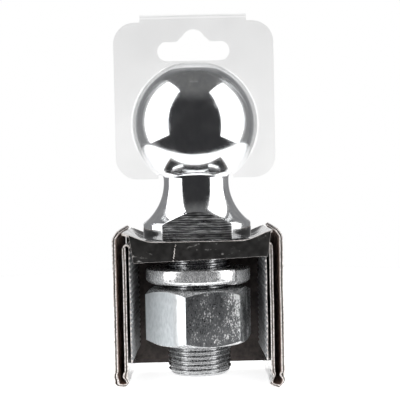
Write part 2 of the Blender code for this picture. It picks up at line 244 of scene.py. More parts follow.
def make_floor():
    """A round white table that ends just in front of the pack."""
    shape = bmesh.new()
    level = min(FEET.values()) - 0.2 * MM
    turns = [2 * math.pi * side / 128 for side in range(128)]
    rim = [(FLOOR_R * math.cos(t), FLOOR_MIDDLE_Y + FLOOR_R * math.sin(t)) for t in turns]
    shape.faces.new([shape.verts.new((x, y, level)) for x, y in rim])
    mesh = bpy.data.meshes.new("floor")
    shape.to_mesh(mesh)
    shape.free()
    floor = bpy.data.objects.new("floor", mesh)
    bpy.context.scene.collection.objects.link(floor)
    look = Look("floor_paper", (0.95, 0.95, 0.95), 0.0, 0.9)
    look.bump(look.noise(900.0, 4.0), 0.05 * MM, 0.1)
    look.shader.inputs["Emission Color"].default_value = (1, 1, 1, 1)
    look.shader.inputs["Emission Strength"].default_value = 0.82
    mesh.materials.append(look.material)


# ---------------------------------------------------------------- material nodes


class Look:
    """A Principled material with helpers that add procedural detail in metres."""

    def __init__(self, name, color, metallic, roughness, **sockets):
        self.material = bpy.data.materials.new(name)
        self.material.use_nodes = True
        self.tree = self.material.node_tree
        self.shader = self.tree.nodes["Principled BSDF"]
        self.shader.inputs["Base Color"].default_value = (*color, 1)
        self.shader.inputs["Metallic"].default_value = metallic
        self.shader.inputs["Roughness"].default_value = roughness
        for socket, value in sockets.items():
            self.shader.inputs[socket.replace("_", " ")].default_value = value
        self.coords = self.tree.nodes.new("ShaderNodeTexCoord").outputs["Object"]
        self.last_normal = None

    def node(self, kind, **values):
        made = self.tree.nodes.new(kind)
        for key, value in values.items():
            setattr(made, key, value)
        return made

    def link(self, out, into):
        self.tree.links.new(out, into)

    def scaled(self, stretch):
        mapping = self.node("ShaderNodeMapping")
        mapping.inputs["Scale"].default_value = stretch
        self.link(self.coords, mapping.inputs["Vector"])
        return mapping.outputs[0]

    def noise(self, scale, detail=3.0, stretch=(1, 1, 1), rough=0.55):
        made = self.node("ShaderNodeTexNoise")
        made.inputs["Scale"].default_value = scale
        made.inputs["Detail"].default_value = detail
        made.inputs["Roughness"].default_value = rough
        self.link(self.scaled(stretch), made.inputs["Vector"])
        return made.outputs["Fac"]

    def coordinate(self, axis):
        split = self.node("ShaderNodeSeparateXYZ")
        self.link(self.coords, split.inputs[0])
        return split.outputs[axis]

    def ramp(self, value, low, high, out_low=0.0, out_high=1.0):
        made = self.node("ShaderNodeMapRange", interpolation_type="SMOOTHSTEP")
        made.inputs["From Min"].default_value = low
        made.inputs["From Max"].default_value = high
        made.inputs["To Min"].default_value = out_low
        made.inputs["To Max"].default_value = out_high
        self.link(value, made.inputs["Value"])
        return made.outputs[0]

    def math(self, operation, first, second):
        made = self.node("ShaderNodeMath", operation=operation)
        for socket, value in zip(made.inputs, (first, second)):
            if isinstance(value, (int, float)):
                socket.default_value = value
            else:
                self.link(value, socket)
        return made.outputs[0]

    def mix(self, factor, first, second):
        made = self.node("ShaderNodeMix", data_type="RGBA")
        self.link(factor, made.inputs["Factor"])
        for socket, value in ((made.inputs["A"], first), (made.inputs["B"], second)):
            if isinstance(value, tuple):
                socket.default_value = (*value, 1)
            else:
                self.link(value, socket)
        return made.outputs["Result"]

    def color(self, out):
        self.link(out, self.shader.inputs["Base Color"])

    def roughness(self, out):
        self.link(out, self.shader.inputs["Roughness"])

    def bump(self, height, distance, strength=1.0):
        made = self.node("ShaderNodeBump")
        made.inputs["Distance"].default_value = distance
        made.inputs["Strength"].default_value = strength
        self.link(height, made.inputs["Height"])
        if self.last_normal:
            self.link(self.last_normal, made.inputs["Normal"])
        self.last_normal = made.outputs[0]
        self.link(self.last_normal, self.shader.inputs["Normal"])


def chrome_look():
    look = Look("chrome", (0.80, 0.81, 0.82), 1.0, 0.09)
    haze_and_painted_reflection = look.noise(140.0, 5.0)
    look.roughness(look.ramp(haze_and_painted_reflection, 0.35, 0.75, 0.07, 0.19))
    stain = look.noise(380.0, 4.0, (1, 1, 0.6))
    look.color(look.mix(look.ramp(stain, 0.3, 0.7), (0.72, 0.73, 0.75), (0.84, 0.85, 0.85)))
    turning = look.noise(9000.0, 2.0, (0.02, 0.02, 1.0))
    look.bump(turning, 0.004 * MM, 0.35)
    look.bump(look.noise(70.0, 3.0), 0.03 * MM, 0.18)
    return look.material


def flat_look():
    """Milled flat: wavy horizontal tool ridges under the plating."""
    look = Look("milled_flat", (0.62, 0.63, 0.64), 1.0, 0.24)
    wander = look.noise(130.0, 3.0, (0.6, 1, 1))
    height = look.math("ADD", look.coordinate("Z"), look.math("MULTIPLY", wander, 1.1 * MM))
    ridges = look.math("SINE", look.math("MULTIPLY", height, 2 * math.pi / (0.92 * MM)), 0.0)
    pale_shift = look.noise(520.0, 5.0, (0.3, 0.35, 1.5), 0.65)
    bright = look.math("ADD", look.math("MULTIPLY", ridges, 0.12), pale_shift)
    look.color(look.mix(look.ramp(bright, 0.36, 0.72), (0.20, 0.20, 0.205), (0.80, 0.81, 0.81)))
    look.roughness(look.ramp(pale_shift, 0.3, 0.7, 0.26, 0.48))
    look.bump(ridges, 0.06 * MM, 0.9)
    look.bump(pale_shift, 0.04 * MM, 0.5)
    return look.material


def thread_look():
    look = Look("plated_thread", (0.60, 0.61, 0.61), 1.0, 0.2)
    spots = look.noise(1100.0, 3.0)
    look.color(look.mix(look.ramp(spots, 0.35, 0.7), (0.42, 0.42, 0.43), (0.60, 0.61, 0.61)))
    look.roughness(look.ramp(spots, 0.3, 0.75, 0.22, 0.32))
    look.bump(look.noise(2500.0, 2.0), 0.004 * MM, 0.25)
    return look.material


def mottled_zinc_look():
    look = Look("mottled_zinc", (0.5, 0.5, 0.5), 0.92, 0.35)
    grain = look.noise(1900.0, 5.0, (1, 1, 0.55), 0.72)
    blotch = look.noise(150.0, 4.0, (1, 1, 0.6))
    mask = look.math("ADD", grain, look.math("MULTIPLY", blotch, 0.75))
    # Paler towards +X, across the right-hand flats.
    pale_shift = look.ramp(look.coordinate("X"), 5 * MM, 16 * MM, 0.0, 0.13)
    mask = look.math("ADD", mask, pale_shift)
    look.color(look.mix(look.ramp(mask, 0.95, 1.12), (0.16, 0.165, 0.17), (0.94, 0.95, 0.95)))
    look.roughness(look.ramp(mask, 0.7, 1.05, 0.26, 0.5))
    look.bump(grain, 0.035 * MM, 0.6)
    return look.material


def smooth_zinc_look():
    look = Look("smooth_zinc", (0.62, 0.65, 0.67), 0.45, 0.12)
    grain = look.noise(1200.0, 4.0, (1, 1, 0.4))
    look.color(look.mix(look.ramp(grain, 0.3, 0.75), (0.66, 0.70, 0.72), (0.84, 0.88, 0.90)))
    look.roughness(look.ramp(grain, 0.3, 0.75, 0.08, 0.18))
    look.bump(grain, 0.003 * MM, 0.4)
    return look.material


def bright_zinc_look():
    look = Look("bright_zinc", (0.74, 0.75, 0.76), 0.5, 0.2)
    grain = look.noise(1500.0, 4.0)
    look.color(look.mix(look.ramp(grain, 0.35, 0.7), (0.62, 0.63, 0.64), (0.84, 0.85, 0.85)))
    look.roughness(look.ramp(grain, 0.3, 0.75, 0.14, 0.34))
    look.bump(grain, 0.02 * MM, 0.45)
    return look.material


def washer_look():
    look = Look("spring_steel", (0.90, 0.91, 0.92), 0.75, 0.3)
    grain = look.noise(1300.0, 4.0, (1, 1, 0.5))
    look.color(look.mix(look.ramp(grain, 0.35, 0.65), (0.72, 0.73, 0.74), (0.97, 0.97, 0.97)))
    look.roughness(look.ramp(grain, 0.35, 0.75, 0.16, 0.36))
    look.bump(grain, 0.02 * MM, 0.5)
    return look.material


def clear_look():
    """Clear sheet: each face mirrors a little face on and more at grazing angles."""
    look = Look("clear_pet", (0.95, 0.96, 0.965), 1.0, 0.05)
    facing = look.node("ShaderNodeLayerWeight")
    facing.inputs["Blend"].default_value = 0.5
    grazing = look.math("POWER", facing.outputs["Facing"], 5.0)
    mirror = look.math("ADD", look.math("MULTIPLY", grazing, 0.9), 0.032)
    haze_and_painted_reflection = look.ramp(look.noise(55.0, 4.0), 0.35, 0.8, 0.0, 0.02)
    # Painted reflection: the sheet mirrors more towards its top, so it looks greyer there. The noise
    # above is random haze in the film.
    haze_and_painted_reflection = look.math("ADD", haze_and_painted_reflection, look.ramp(look.coordinate("Z"), 100 * MM, 142 * MM, 0.0, 0.035))
    look.link(look.math("ADD", mirror, haze_and_painted_reflection), look.shader.inputs["Alpha"])
    look.bump(look.noise(45.0, 3.0), 0.12 * MM, 0.3)
    look.bump(look.noise(700.0, 2.0), 0.01 * MM, 0.2)
    return look.material


def print_look():
    """Black printed board under a gloss coat, with fibre lumps and pale scuffs."""
    look = Look("black_print", (0.02, 0.019, 0.019), 0.0, 0.4, Coat_Weight=1.0, Coat_Roughness=0.09)
    fibre = look.noise(420.0, 5.0)
    scuff = look.noise(650.0, 6.0, (0.55, 1, 1.4), 0.7)
    place = look.noise(75.0, 3.0)
    mask = look.math("MULTIPLY", look.ramp(scuff, 0.59, 0.67), look.ramp(place, 0.48, 0.62))
    tone = look.mix(look.ramp(fibre, 0.3, 0.7), (0.010, 0.0095, 0.009), (0.026, 0.025, 0.024))
    look.color(look.mix(mask, tone, (0.42, 0.41, 0.40)))
    look.roughness(look.ramp(fibre, 0.3, 0.75, 0.3, 0.5))
    look.bump(fibre, 0.03 * MM, 0.4)
    look.bump(look.noise(60.0, 2.0), 0.4 * MM, 0.3)
    return look.material


def inner_board_look(name, dark, light):
    """Plain brown-grey inside of the board."""
    look = Look(name, light, 0.0, 0.75)
    fibre = look.noise(500.0, 5.0, (1, 0.3, 1))
    look.color(look.mix(look.ramp(fibre, 0.3, 0.7), dark, light))
    look.bump(fibre, 0.06 * MM, 0.5)
    return look.material


# The board's core, set back between the plies. Its near-black colour is painted shade for the shadowed
# hollows of the flutes.
def painted_shade_core_look():
    look = Look("board_core_painted_shade", (0.06, 0.045, 0.04), 0.0, 0.85)
    fibre = look.noise(900.0, 4.0)
    look.color(look.mix(look.ramp(fibre, 0.3, 0.7), (0.03, 0.023, 0.02), (0.11, 0.085, 0.075)))
    look.bump(fibre, 0.06 * MM, 0.5)
    return look.material


def cut_edge_look():
    """Torn, pale paper fibres along a cut edge."""
    look = Look("cut_edge", (0.62, 0.58, 0.55), 0.0, 0.75)
    fibre = look.noise(1400.0, 5.0, rough=0.7)
    look.color(look.mix(look.ramp(fibre, 0.34, 0.64), (0.36, 0.32, 0.30), (0.90, 0.86, 0.83)))
    look.bump(fibre, 0.06 * MM, 0.7)
    return look.material


def liner_look():
    look = Look("fluted_board", (0.4, 0.4, 0.4), 0.0, 0.42, Coat_Weight=0.5, Coat_Roughness=0.25)
    fibre = look.noise(600.0, 4.0)
    look.color(look.mix(look.ramp(fibre, 0.35, 0.72), (0.36, 0.37, 0.38), (0.70, 0.71, 0.72)))
    look.roughness(look.ramp(fibre, 0.3, 0.7, 0.34, 0.55))
    look.bump(fibre, 0.04 * MM, 0.5)
    return look.material


# ---------------------------------------------------------------- mesh helpers


def to_object(shape, name, *looks):
    mesh = bpy.data.meshes.new(name)
    bmesh.ops.recalc_face_normals(shape, faces=shape.faces)
    shape.to_mesh(mesh)
    shape.free()
    made = bpy.data.objects.new(name, mesh)
    bpy.context.scene.collection.objects.link(made)
    for look in looks:
        mesh.materials.append(look)
    return made


def smooth(piece, angle=35.0):
    piece.data.shade_smooth()
    piece.data.set_sharp_from_angle(angle=math.radians(angle))
    return piece


def apply_modifiers(piece):
    """Puts the evaluated mesh in place of the piece's own."""
    graph = bpy.context.evaluated_depsgraph_get()
    graph.update()
    mesh = bpy.data.meshes.new_from_object(piece.evaluated_get(graph))
    piece.modifiers.clear()
    piece.data = mesh
    return piece


def cut(piece, operation, *others):
    for other in others:
        modifier = piece.modifiers.new(operation, "BOOLEAN")
        modifier.operation = operation
        modifier.object = other
    apply_modifiers(piece)
    for other in others:
        bpy.data.objects.remove(other, do_unlink=True)
    return piece


def bevel(piece, width, segments=2, angle=30.0):
    modifier = piece.modifiers.new("bevel", "BEVEL")
    modifier.width = width
    modifier.segments = segments
    modifier.limit_method = "ANGLE"
    modifier.angle_limit = math.radians(angle)
    modifier.harden_normals = True
    return apply_modifiers(piece)


def place(piece, body, slot, *nodes):
    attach(piece, body)
    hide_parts(*nodes)
    return piece


def arc(center_x, center_z, radius, start, end, steps):
    """Points on an arc, with the angles in degrees."""
    angles = [math.radians(start + (end - start) * step / steps) for step in range(steps + 1)]
    return [(center_x + radius * math.cos(a), center_z + radius * math.sin(a)) for a in angles]


def ease(value, start, end):
    """0 before start and 1 after end, with a smooth rise between."""
    part = min(1.0, max(0.0, (value - start) / (end - start)))
    return part * part * (3 - 2 * part)


def turned(profile, sides):
    """A closed shape turned about Z. Points on the axis become poles."""
    shape = bmesh.new()
    rings = []
    for radius, height in profile:
        if radius < 1e-7:
            rings.append([shape.verts.new((0, 0, height))])
            continue
        turns = [2 * math.pi * side / sides for side in range(sides)]
        ring = [(radius * math.cos(t), radius * math.sin(t), height) for t in turns]
        rings.append([shape.verts.new(point) for point in ring])
    for first, second in zip(rings, rings[1:]):
        for side in range(sides):
            after = (side + 1) % sides
            corners = [first[side % len(first)], first[after % len(first)]]
            corners += [second[after % len(second)], second[side % len(second)]]
            corners = list(dict.fromkeys(corners))
            if len(corners) > 2:
                shape.faces.new(corners)
    return shape


def prism(outline, low_y, high_y):
    """An (x, z) outline run from low_y to high_y."""
    shape = bmesh.new()
    near = [shape.verts.new((x, low_y, z)) for x, z in outline]
    far = [shape.verts.new((x, high_y, z)) for x, z in outline]
    shape.faces.new(near)
    shape.faces.new(far[::-1])
    for index in range(len(outline)):
        after = (index + 1) % len(outline)
        shape.faces.new([near[index], far[index], far[after], near[after]])
    return shape


def block(low, high):
    shape = bmesh.new()
    bmesh.ops.create_cube(shape, size=1.0)
    for vertex in shape.verts:
        for axis in range(3):
            vertex.co[axis] = high[axis] if vertex.co[axis] > 0 else low[axis]
    return shape


# ---------------------------------------------------------------- hardware


def thread_shape(low_z, high_z, crest_r, sides, lines, fade):
    """A rod with a helical thread: flat crests, rounded roots, run out at both ends."""
    shape = bmesh.new()
    made = {}

    def tooth(line):
        phase = abs((line / lines) % 1.0 - 0.5) * 2
        return ease(1.12 * phase, 0.14, 0.98)

    def vertex(side, line):
        if side == sides:
            side = 0
            line += lines
        z = PITCH * (line / lines + 0.5 + side / sides)
        key = (side, line)
        if z <= low_z:
            z = low_z
            key = (side, "low")
        if z >= high_z:
            z = high_z
            key = (side, "high")
        if key not in made:
            depth = min(1.0, (z - low_z) / fade, (high_z - z) / fade)
            radius = crest_r - THREAD_DEPTH * (1 - depth * tooth(line))
            turn = 2 * math.pi * side / sides
            made[key] = shape.verts.new((radius * math.cos(turn), radius * math.sin(turn), z))
        return made[key]

    first = lines * (math.floor(low_z / PITCH) - 2)
    last = lines * (math.ceil(high_z / PITCH) + 2)
    for side in range(sides):
        for line in range(first, last):
            corners = [vertex(side, line), vertex(side + 1, line)]
            corners += [vertex(side + 1, line + 1), vertex(side, line + 1)]
            corners = list(dict.fromkeys(corners))
            if len(corners) > 2:
                shape.faces.new(corners)
    for end in ("low", "high"):
        shape.faces.new([made[(side, end)] for side in range(sides)])
    return shape


def make_ball(chrome, milled):
    top = BALL_TOP_Z
    flat_r = math.sqrt(BALL_R**2 - (top - BALL_Z) ** 2)
    top_angle = math.degrees(math.asin((top - BALL_Z) / BALL_R))
    fillet_x = NECK_R + NECK_FILLET_R
    neck_angle = math.degrees(math.acos(fillet_x / (BALL_R + NECK_FILLET_R)))
    fillet_z = BALL_Z - math.sqrt((BALL_R + NECK_FILLET_R) ** 2 - fillet_x**2)
    flare_end = -90 - math.degrees(math.asin((NECK_R + FLARE_R - BASE_R) / FLARE_R))
    profile = [(0, top), (flat_r - 0.7 * MM, top), (flat_r - 0.2 * MM, top - 0.06 * MM)]
    profile += arc(0, BALL_Z, BALL_R, top_angle - 1.2, -neck_angle, 72)
    profile += arc(fillet_x, fillet_z, NECK_FILLET_R, 180 - neck_angle, 180, 12)[1:]
    flare = arc(NECK_R + FLARE_R, FLARE_Z, FLARE_R, -180, flare_end, 36)
    profile += flare[:-1]
    rim_z = flare[-1][1]
    profile += [(BASE_R - 0.35 * MM, rim_z + 0.12 * MM), (BASE_R - 0.1 * MM, rim_z - 0.1 * MM)]
    profile += [(BASE_R, rim_z - 0.4 * MM), (BASE_R, SEAT_Z + 0.7 * MM)]
    profile += [(BASE_R - 0.2 * MM, SEAT_Z + 0.2 * MM), (BASE_R - 0.7 * MM, SEAT_Z)]
    profile += [(SHANK_R, SEAT_Z), (SHANK_R, THREAD_TOP_Z - 0.9 * MM), (0, THREAD_TOP_Z - 0.9 * MM)]
    ball = to_object(turned(profile, BALL_SIDES), "hitch_ball_body", chrome, milled)
    wide = BASE_R + 2 * MM
    front = to_object(block((-wide, -wide, SEAT_Z - MM), (wide, -FLAT_HALF, FLAT_TOP_Z)), "cut_front")
    back = to_object(block((-wide, FLAT_HALF, SEAT_Z - MM), (wide, wide, FLAT_TOP_Z)), "cut_back")
    cut(ball, "DIFFERENCE", front, back)
    bevel(ball, 0.28 * MM, 2, 24.0)
    for face in ball.data.polygons:
        on_flat = abs(abs(face.center.y) - FLAT_HALF) < 0.02 * MM and abs(face.normal.y) > 0.999
        face.material_index = int(on_flat)
    smooth(ball, 40)
    place(ball, "ball", "chrome", "hitch_ball")


def make_shank(look):
    shape = thread_shape(SHANK_Z, THREAD_TOP_Z, THREAD_R, THREAD_SIDES, 10, 1.1 * MM)
    shank = to_object(shape, "shank_thread", look)
    tip = [(0, SHANK_Z - MM), (10.9 * MM, SHANK_Z - MM), (10.9 * MM, SHANK_Z)]
    tip += [(SHANK_R + 0.2 * MM, SHANK_Z + 2.4 * MM), (SHANK_R + 0.2 * MM, THREAD_TOP_Z + MM)]
    tip += [(0, THREAD_TOP_Z + MM)]
    cut(shank, "INTERSECT", to_object(turned(tip, THREAD_SIDES), "shank_tip"))
    smooth(shank, 50)
    place(shank, "ball", "chrome", "hitch_ball")


def make_washer(look):
    shape = bmesh.new()
    steps = 200
    middle = (WASHER_Z + WASHER_TOP_Z) / 2
    rise = WASHER_TOP_Z - WASHER_Z - WASHER_THICK
    half_cut = WASHER_CUT / WASHER_R
    section = [(WASHER_BORE_R + 0.4 * MM, -0.5), (WASHER_R - 1.3 * MM, -0.5)]
    section += [(WASHER_R - 0.9 * MM, -0.47), (WASHER_R - 0.15 * MM, -0.33), (WASHER_R, -0.27)]
    section += [(WASHER_R, 0.36), (WASHER_R - 0.25 * MM, 0.46), (WASHER_R - 0.8 * MM, 0.5)]
    section += [(WASHER_BORE_R + 0.4 * MM, 0.5), (WASHER_BORE_R, 0.44), (WASHER_BORE_R, -0.44)]
    rings = []
    for step in range(steps + 1):
        turn = step / steps
        ring = []
        for radius, level in section:
            angle = WASHER_SPLIT + half_cut + turn * (2 * math.pi - 2 * half_cut)
            height = middle + rise * (turn - 0.5) + level * WASHER_THICK
            ring.append(shape.verts.new((radius * math.cos(angle), radius * math.sin(angle), height)))
        rings.append(ring)
    count = len(section)
    for first, second in zip(rings, rings[1:]):
        for index in range(count):
            after = (index + 1) % count
            shape.faces.new([first[index], first[after], second[after], second[index]])
    shape.faces.new(rings[0])
    shape.faces.new(rings[-1])
    washer = smooth(to_object(shape, "lock_washer_ring", look), 30)
    place(washer, "washer", "spring_steel", "lock_washer")


def make_nut(mottled, smooth_face, bright):
    corner_r = NUT_HALF / math.cos(math.pi / 6)
    shape = bmesh.new()
    middle = Matrix.Translation((0, 0, (NUT_Z + NUT_TOP_Z) / 2)) @ Matrix.Rotation(NUT_TURN, 4, "Z")
    bmesh.ops.create_cone(
        shape, cap_ends=True, segments=6, radius1=corner_r, radius2=corner_r,
        depth=NUT_TOP_Z - NUT_Z, matrix=middle,
    )
    nut = to_object(shape, "hex_nut_body", mottled, smooth_face, bright)
    wide_r = corner_r + 1.2 * MM
    flat_r = NUT_HALF - 0.5 * MM
    profile = [(0, NUT_TOP_Z), (flat_r, NUT_TOP_Z), (wide_r, NUT_TOP_Z - NUT_CHAMFER)]
    profile += [(wide_r, NUT_Z + NUT_CHAMFER), (flat_r, NUT_Z), (0, NUT_Z)]
    cut(nut, "INTERSECT", to_object(turned(profile, 240), "nut_chamfers"))
    bore = thread_shape(NUT_Z - 3 * MM, NUT_TOP_Z + 3 * MM, THREAD_R + NUT_CLEARANCE, 72, 6, MM)
    cut(nut, "DIFFERENCE", to_object(bore, "nut_bore"))
    for end, face_z in ((-1, NUT_Z), (1, NUT_TOP_Z)):
        inside = face_z - end * NUT_MOUTH_DEPTH
        outside = face_z + end * MM
        mouth = [(0, inside), (11.6 * MM, inside), (NUT_MOUTH_R, outside), (0, outside)]
        if end < 0:
            mouth.reverse()
        cut(nut, "DIFFERENCE", to_object(turned(mouth, 120), "nut_mouth"))
    bevel(nut, 0.5 * MM, 2, 28.0)
    left_face = math.radians(240) + NUT_TURN
    for face in nut.data.polygons:
        flat = abs(face.normal.z) < 0.05 and math.hypot(face.center.x, face.center.y) > 15 * MM
        turn = math.atan2(face.normal.y, face.normal.x) - left_face
        flat = flat and abs(math.sin(3 * turn)) < 0.05
        on_left = math.cos(turn) > 0.99
        face.material_index = (1 if on_left else 0) if flat else 2
    smooth(nut, 40)
    for face in nut.data.polygons:
        face.use_smooth = face.material_index == 2
    place(nut, "nut", "zinc", "hex_nut")


# ---------------------------------------------------------------- clear cover


def sheet_outline(tab_top_z):
    inner = COVER_HALF_WIDTH - COVER_CORNER_R
    right = arc(inner, COVER_Z + COVER_CORNER_R, COVER_CORNER_R, -90, 0, 16)
    right += arc(inner, COVER_TOP_Z - COVER_CORNER_R, COVER_CORNER_R, 0, 90, 16)
    right += [(TAB_HALF_WIDTH, COVER_TOP_Z), (TAB_HALF_WIDTH, tab_top_z)]
    return right + [(-x, z) for x, z in right[::-1]]


def hang_hole_outline():
    middle = SLOT_HALF_WIDTH - SLOT_R
    bump_z = SLOT_Z + SLOT_R
    outline = arc(middle, SLOT_Z, SLOT_R, -90, 75, 16)
    outline += arc(BUMP_R + 2.6 * MM, bump_z + 1.4 * MM, 1.6 * MM, -90, -160, 6)
    outline += arc(0, bump_z, BUMP_R, 25, 90, 12)
    return outline + [(-x, z) for x, z in outline[-2::-1]]


def dome_shape(side, inset, flange):
    """The half dome as a solid turned about Y, with a fillet where it meets the sheet."""
    radius = DOME_R - inset
    fillet = DOME_FILLET_R + inset
    plane = COVER_SPLIT + COVER_THICK - inset
    rise = plane + fillet
    run = math.sqrt((radius + fillet) ** 2 - rise**2)
    meet = math.degrees(math.atan2(rise, run))
    profile = [(0, radius)] + [(r, z) for r, z in arc(0, 0, radius, 89, meet, 40)]
    profile += arc(run, rise, fillet, 180 + meet, 270, 8)[1:]
    profile += [(run + flange, plane), (run + flange, -flange), (0, -flange)]
    shape = turned(profile, 144)
    flip = Matrix.Rotation(math.radians(90 if side < 0 else -90), 4, "X")
    bmesh.ops.transform(shape, matrix=Matrix.Translation((0, 0, BALL_Z)) @ flip, verts=shape.verts)
    return shape


def make_cover_half(name, side, node, body, tab_top_z, look):
    near = side * COVER_SPLIT
    far = side * (COVER_SPLIT + COVER_THICK)
    half = to_object(prism(sheet_outline(tab_top_z), min(near, far), max(near, far)), name, look)
    dome = to_object(dome_shape(side, 0.0, 0.05 * MM), "dome")
    wide = 40 * MM
    low = (-wide, min(near, side * wide), COVER_Z)
    high = (wide, max(near, side * wide), DOME_TOP_Z)
    cut(dome, "INTERSECT", to_object(block(low, high), "dome_half"))
    cut(half, "UNION", dome)
    hollow = to_object(dome_shape(side, COVER_THICK, 2 * MM), "hollow")
    low = (-wide, -wide, COVER_Z - 5 * MM)
    high = (wide, wide, DOME_TOP_Z - COVER_THICK)
    cut(hollow, "INTERSECT", to_object(block(low, high), "hollow_limit"))
    hole = to_object(prism(hang_hole_outline(), -3 * MM, 3 * MM), "hang_hole")
    neck = [(0, COVER_Z - MM), (NECK_HOLE_R, COVER_Z - MM), (NECK_HOLE_R, NECK_HOLE_TOP_Z)]
    neck_hole = to_object(turned(neck + [(0, NECK_HOLE_TOP_Z)], 96), "neck_hole")
    cut(half, "DIFFERENCE", hollow, hole, neck_hole)
    smooth(half, 30)
    place(half, body, "clear_pet", node)


def make_cover_fold(look):
    radius = FOLD_TOP_Z - span("cover_fold", 2)[0]
    middle = radius - COVER_THICK / 2
    base_z = FOLD_TOP_Z - radius
    start_z = base_z - 0.2 * MM
    path = [(middle, start_z)] + arc(0, base_z, middle, 0, 180, 14) + [(-middle, start_z)]
    shape = bmesh.new()
    rings = []
    near_end = TAB_HALF_WIDTH - 0.4 * MM
    for x in (-TAB_HALF_WIDTH, -near_end, 0, near_end, TAB_HALF_WIDTH):
        outline = strip(path, COVER_THICK)
        rings.append([shape.verts.new((x, y, z)) for y, z in outline])
    count = len(rings[0])
    for first, second in zip(rings, rings[1:]):
        for index in range(count):
            after = (index + 1) % count
            shape.faces.new([first[index], first[after], second[after], second[index]])
    shape.faces.new(rings[0])
    shape.faces.new(rings[-1])
    place(smooth(to_object(shape, "cover_fold_strip", look), 40), "cover", "clear_pet", "cover_fold")


# ---------------------------------------------------------------- carton


def strip(points, thick, offset=0.0):
    """The closed outline of a strip of even thickness beside open (x, z) points."""
    left = []
    right = []
    for index, (x, z) in enumerate(points):
        before = points[max(index - 1, 0)]
        after = points[min(index + 1, len(points) - 1)]
        run = math.hypot(after[0] - before[0], after[1] - before[1])
        side_x = (after[1] - before[1]) / run
        side_z = -(after[0] - before[0]) / run
        left.append((x + side_x * (offset + thick / 2), z + side_z * (offset + thick / 2)))
        right.append((x + side_x * (offset - thick / 2), z + side_z * (offset - thick / 2)))
    return left + right[::-1]


def rounded(points, radius, steps=5):
    """The open path with its inner corners rounded."""
    path = [points[0]]
    for before, corner, after in zip(points, points[1:], points[2:]):
        start = Vector(before) - Vector(corner)
        end = Vector(after) - Vector(corner)
        reach = min(radius, start.length / 2, end.length / 2)
        first = Vector(corner) + start.normalized() * reach
        last = Vector(corner) + end.normalized() * reach
        for step in range(steps + 1):
            part = step / steps
            bend = first * (1 - part) ** 2 + Vector(corner) * 2 * part * (1 - part) + last * part**2
            path.append(tuple(bend))
    path.append(points[-1])
    return path


def divided(points, length):
    """The same path with a point at least every length."""
    path = [points[0]]
    for first, second in zip(points, points[1:]):
        pieces = max(1, math.ceil(math.hypot(second[0] - first[0], second[1] - first[1]) / length))
        for piece in range(1, pieces + 1):
            part = piece / pieces
            x = first[0] + (second[0] - first[0]) * part
            z = first[1] + (second[1] - first[1]) * part
            path.append((x, z))
    return path


def splay(y):
    """How far the side walls come in from their open front edges."""
    return SPLAY * (y - WALL_FRONT_Y)


def swept(name, path, thick, offset, low_y, high_y, mirror, looks, crumple=0.0):
    """A board layer run along Y, a little warped, with its cut ends in the second look.

    crumple is how far the lowest part is dented near the front.
    """
    sign = -1 if mirror else 1
    outline = strip(path, thick, offset)
    count = len(outline)
    rows = 14
    shape = bmesh.new()
    rings = []
    for row in range(rows + 1):
        part = row / rows
        y = low_y + (high_y - low_y) * part
        ring = []
        for x, z in outline:
            seed = Vector((sign * x * 120, y * 60 + sign * 7, z * 90))
            sway = WARP * noise.noise(seed)
            ends = EDGE_WAVE * noise.noise(Vector((sign * 31, offset * 4000, z * 160)))
            ends *= max(0.0, 1 - 4 * part)
            near = crumple * max(0.0, 1 - 2.5 * part) * ease(FEET_TOP_Z - z, 0.0, 3 * MM)
            dent = Vector((x * 330, y * 90 + sign * 5, z * 330))
            sway += near * noise.noise(dent)
            lift = abs(near * noise.noise(dent + Vector((9, 4, 2))))
            point = (sign * (x - splay(y)) + sway, y + abs(ends) + lift, z + 0.7 * lift)
            ring.append(shape.verts.new(point))
        rings.append(ring)
    for first, second in zip(rings, rings[1:]):
        for index in range(count):
            after = (index + 1) % count
            face = shape.faces.new([first[index], first[after], second[after], second[index]])
            long_side = index in (count // 2 - 1, count - 1)
            face.material_index = int(long_side)
    half = count // 2
    for ring in (rings[0], rings[-1]):
        for index in range(half - 1):
            corners = [ring[index], ring[index + 1], ring[count - 2 - index], ring[count - 1 - index]]
            shape.faces.new(corners).material_index = 1
    return smooth(to_object(shape, name, *looks), 50)


def board(name, node, path, low_y, high_y, mirror, outer, inner, edge, core, crumple=0.0):
    """Fluted board: a printed ply, a plain ply and the dark wavy core set back between them. The core's
    near-black colour is painted shade for the hollow flutes.
    """
    gap = BOARD - 2 * PLY
    shift = (BOARD - PLY) / 2
    layers = (
        (f"{name}_print_ply", PLY, shift, low_y, high_y, (outer, edge)),
        (f"{name}_plain_ply", PLY, -shift, low_y, high_y, (inner, edge)),
        (f"{name}_core", gap + 0.02 * MM, 0.0, low_y + 0.5 * MM, high_y - 0.5 * MM, (core, core)),
    )
    for layer_name, thick, offset, start_y, end_y, looks in layers:
        piece = swept(layer_name, path, thick, offset, start_y, end_y, mirror, looks, crumple)
        place(piece, "carton", "black_board", node)


def panel_height(x, y):
    """Top face of the sagging top panel."""
    middle = SEAT_Z - 0.3 * MM + (APEX_Z - SEAT_Z) * ease(abs(x), BASE_R + 0.4 * MM, APEX_X)
    edge = FRONT_SAG_Z + (APEX_Z - FRONT_SAG_Z) * ease(abs(x), 16.5 * MM, APEX_X + 2 * MM)
    near_edge = ease(-y, 12 * MM, 19.1 * MM) + ease(y, 18 * MM, BACK_Y)
    return middle + (edge - middle) * near_edge


